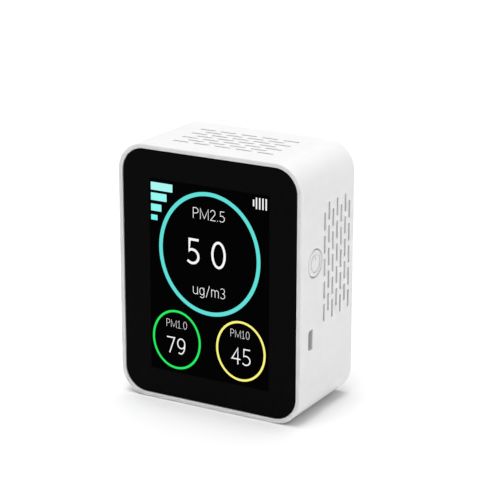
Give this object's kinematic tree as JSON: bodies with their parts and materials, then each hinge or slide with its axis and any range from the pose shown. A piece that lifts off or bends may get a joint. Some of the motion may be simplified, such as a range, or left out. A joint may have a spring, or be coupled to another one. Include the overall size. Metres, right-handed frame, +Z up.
{
  "type": "air quality monitor",
  "caption": "Handheld box-shaped particle monitor with a full-face display lens, slotted side and top grilles, a side power button and a micro-USB inlet.",
  "frame": {"origin": "centre of the base, on the surface that the monitor stands on", "axes": "+Z up, the display faces -Y, the power button and the inlet are on the +X side"},
  "size_m": [0.0702, 0.038, 0.09],
  "materials": {
    "white_abs": "satin moulded white ABS",
    "lens_black": "gloss, black-printed behind, clear over the display",
    "foam_black": "matte foam tape",
    "display_glass": "gloss",
    "backlight_tray": "satin",
    "flex_amber": "polyimide film",
    "connector_cream": "moulded nylon",
    "board_green": "solder mask on glass epoxy",
    "board_blue": "solder mask on glass epoxy",
    "chip_black": "moulded epoxy",
    "crystal_can": "plated can",
    "usb_steel": "stamped and plated",
    "usb_insert": "moulded",
    "switch_black": "moulded",
    "plunger_ivory": "moulded",
    "battery_pouch": "laminated foil pouch",
    "tape_white": "matte foam tape",
    "lead_red": "silicone insulation",
    "lead_black": "silicone insulation",
    "sensor_black": "moulded",
    "sensor_shield": "plain sheet",
    "laser_brass": "turned",
    "motor_steel": "plain",
    "impeller_black": "moulded",
    "cable_black": "flat ribbon",
    "screw_steel": "plated"
  },
  "bodies": {
    "case": {"housing": "white_abs", "rear_cover": "white_abs", "front_glass": "lens_black", "lens_adhesive": "foam_black", "lcd_panel": "display_glass", "lcd_backlight": "backlight_tray", "lcd_flex": "flex_amber", "lcd_connector": "connector_cream", "main_board": "board_green", "microcontroller": "chip_black", "charger_chip": "chip_black", "crystal": "crystal_can", "battery_connector": "connector_cream", "sensor_connector": "connector_cream", "usb_shell": "usb_steel", "usb_tongue": "usb_insert", "switch_body": "switch_black", "battery": "battery_pouch", "battery_tape": "tape_white", "battery_lead_positive": "lead_red", "battery_lead_negative": "lead_black", "sensor_case": "sensor_black", "sensor_lid": "sensor_shield", "sensor_pad": "foam_black", "sensor_board": "board_blue", "laser_module": "laser_brass", "photodiode": "chip_black", "sensor_socket": "connector_cream", "sensor_cable": "cable_black", "fan_motor": "motor_steel", "intake_gasket": "foam_black", "rear_screw_1": "screw_steel", "rear_screw_2": "screw_steel", "rear_screw_3": "screw_steel", "rear_screw_4": "screw_steel", "board_screw_1": "screw_steel", "board_screw_2": "screw_steel", "board_screw_3": "screw_steel", "board_screw_4": "screw_steel"},
    "button": {"power_button": "white_abs"},
    "plunger": {"switch_plunger": "plunger_ivory"},
    "impeller": {"fan_impeller": "impeller_black"}
  },
  "joints": [
    {"name": "power_press", "type": "slide", "parent": "case", "child": "button", "axis": [-1, 0, 0], "range_m": [0, 0.0005], "stiffness_N_per_m": 3000},
    {"name": "switch_travel", "type": "slide", "parent": "case", "child": "plunger", "axis": [-1, 0, 0], "range_m": [0, 0.0007]},
    {"name": "fan_spin", "type": "hinge", "parent": "case", "child": "impeller", "pos_m": [0.008, 0.0064, 0.0675], "axis": [0, 1, 0], "continuous": true}
  ],
  "couplings": [
    {"joint": "switch_travel", "follows": "power_press", "ratio": 1}
  ]
}
